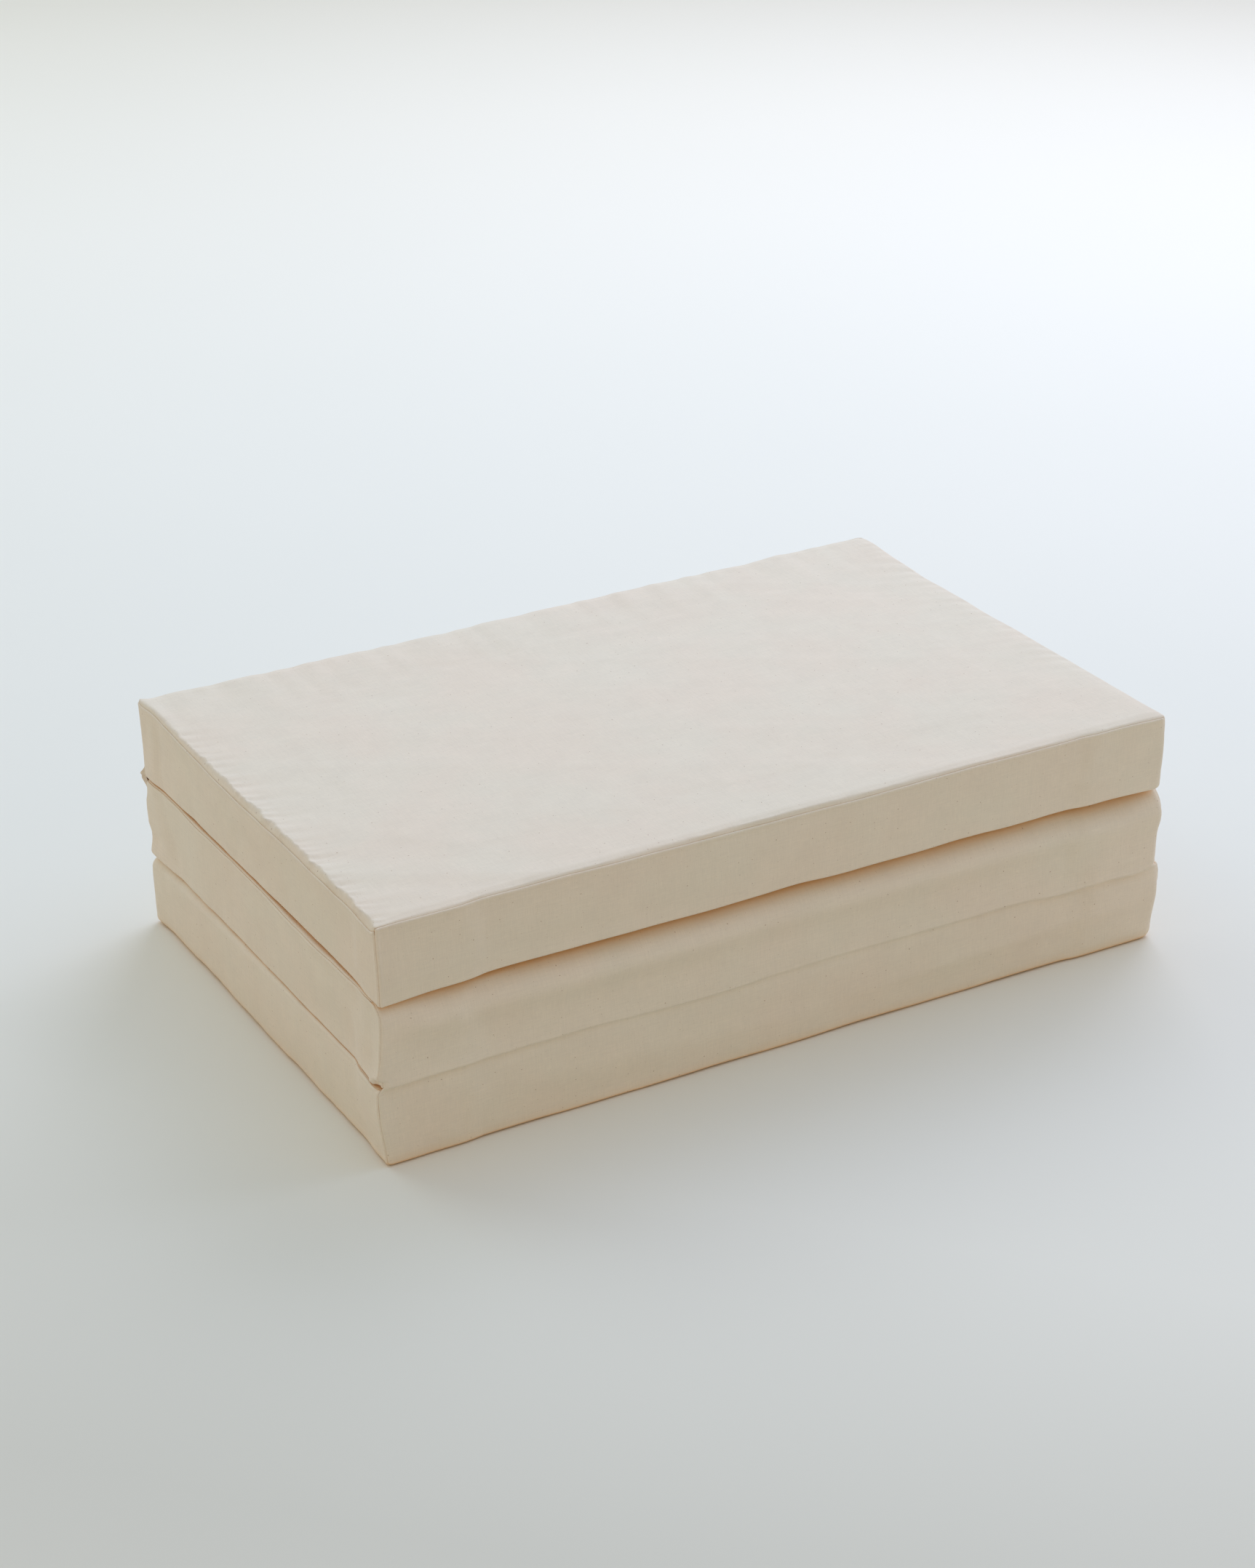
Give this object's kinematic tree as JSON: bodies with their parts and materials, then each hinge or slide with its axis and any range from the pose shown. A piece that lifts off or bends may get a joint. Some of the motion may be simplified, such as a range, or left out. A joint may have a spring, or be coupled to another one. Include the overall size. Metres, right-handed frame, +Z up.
{
  "type": "folding futon mattress",
  "caption": "Folding futon mattress stored as a stack: box cushions in sewn calico covers, hinged along alternate long edges so that it opens out flat.",
  "frame": {"origin": "on the floor, under the middle of the folded stack", "axes": "+X along the long side, +Y from the edge where the bottom and middle cushions join to the back, +Z up"},
  "size_m": [1.0057, 0.645, 0.29],
  "materials": {
    "calico": "matte",
    "cotton_felt": "matte",
    "foam": "matte",
    "zip_tape": "matte",
    "zip_coil": "satin",
    "zip_metal": "satin"
  },
  "bodies": {
    "bottom": {"bottom_foam_core": "foam", "bottom_upper_felt": "cotton_felt", "bottom_lower_felt": "cotton_felt", "bottom_upper_panel": "calico", "bottom_lower_panel": "calico", "bottom_front_wall": "calico", "bottom_back_wall": "calico", "bottom_left_wall": "calico", "bottom_right_wall_upper": "calico", "bottom_right_wall_lower": "calico", "bottom_zip_tape_upper": "zip_tape", "bottom_zip_tape_lower": "zip_tape", "bottom_zip_coil_upper": "zip_coil", "bottom_zip_coil_lower": "zip_coil", "bottom_zip_stop_front": "zip_metal", "bottom_zip_stop_back": "zip_metal"},
    "middle": {"middle_foam_core": "foam", "middle_upper_felt": "cotton_felt", "middle_lower_felt": "cotton_felt", "middle_upper_panel": "calico", "middle_lower_panel": "calico", "middle_front_wall": "calico", "middle_back_wall": "calico", "middle_left_wall": "calico", "middle_right_wall_upper": "calico", "middle_right_wall_lower": "calico", "middle_zip_tape_upper": "zip_tape", "middle_zip_tape_lower": "zip_tape", "middle_zip_coil_upper": "zip_coil", "middle_zip_coil_lower": "zip_coil", "middle_zip_stop_front": "zip_metal", "middle_zip_stop_back": "zip_metal"},
    "top": {"top_foam_core": "foam", "top_upper_felt": "cotton_felt", "top_lower_felt": "cotton_felt", "top_upper_panel": "calico", "top_lower_panel": "calico", "top_front_wall": "calico", "top_back_wall": "calico", "top_left_wall": "calico", "top_right_wall_upper": "calico", "top_right_wall_lower": "calico", "top_zip_tape_upper": "zip_tape", "top_zip_tape_lower": "zip_tape", "top_zip_coil_upper": "zip_coil", "top_zip_coil_lower": "zip_coil", "top_zip_stop_front": "zip_metal", "top_zip_stop_back": "zip_metal"},
    "bottom_slider": {"bottom_zip_slider": "zip_metal"},
    "bottom_pull": {"bottom_zip_pull": "zip_metal"},
    "middle_slider": {"middle_zip_slider": "zip_metal"},
    "middle_pull": {"middle_zip_pull": "zip_metal"},
    "top_slider": {"top_zip_slider": "zip_metal"},
    "top_pull": {"top_zip_pull": "zip_metal"}
  },
  "joints": [
    {"name": "lower_fold", "type": "hinge", "parent": "bottom", "child": "middle", "pos_m": [0, -0.324, 0.0965], "axis": [1, 0, 0], "range_deg": [0, 180]},
    {"name": "upper_fold", "type": "hinge", "parent": "middle", "child": "top", "pos_m": [0, 0.324, 0.1935], "axis": [-1, 0, 0], "range_deg": [0, 180]},
    {"name": "bottom_zip_run", "type": "slide", "parent": "bottom", "child": "bottom_slider", "axis": [0, 1, 0], "range_m": [0, 0.59]},
    {"name": "bottom_pull_swing", "type": "hinge", "parent": "bottom_slider", "child": "bottom_pull", "pos_m": [0.5037, -0.2952, 0.048], "axis": [0, 0, -1], "range_deg": [0, 180]},
    {"name": "middle_zip_run", "type": "slide", "parent": "middle", "child": "middle_slider", "axis": [0, 1, 0], "range_m": [0, 0.59]},
    {"name": "middle_pull_swing", "type": "hinge", "parent": "middle_slider", "child": "middle_pull", "pos_m": [0.5037, -0.2952, 0.145], "axis": [0, 0, -1], "range_deg": [0, 180]},
    {"name": "top_zip_run", "type": "slide", "parent": "top", "child": "top_slider", "axis": [0, 1, 0], "range_m": [0, 0.59]},
    {"name": "top_pull_swing", "type": "hinge", "parent": "top_slider", "child": "top_pull", "pos_m": [0.5037, -0.2952, 0.242], "axis": [0, 0, -1], "range_deg": [0, 180]}
  ]
}
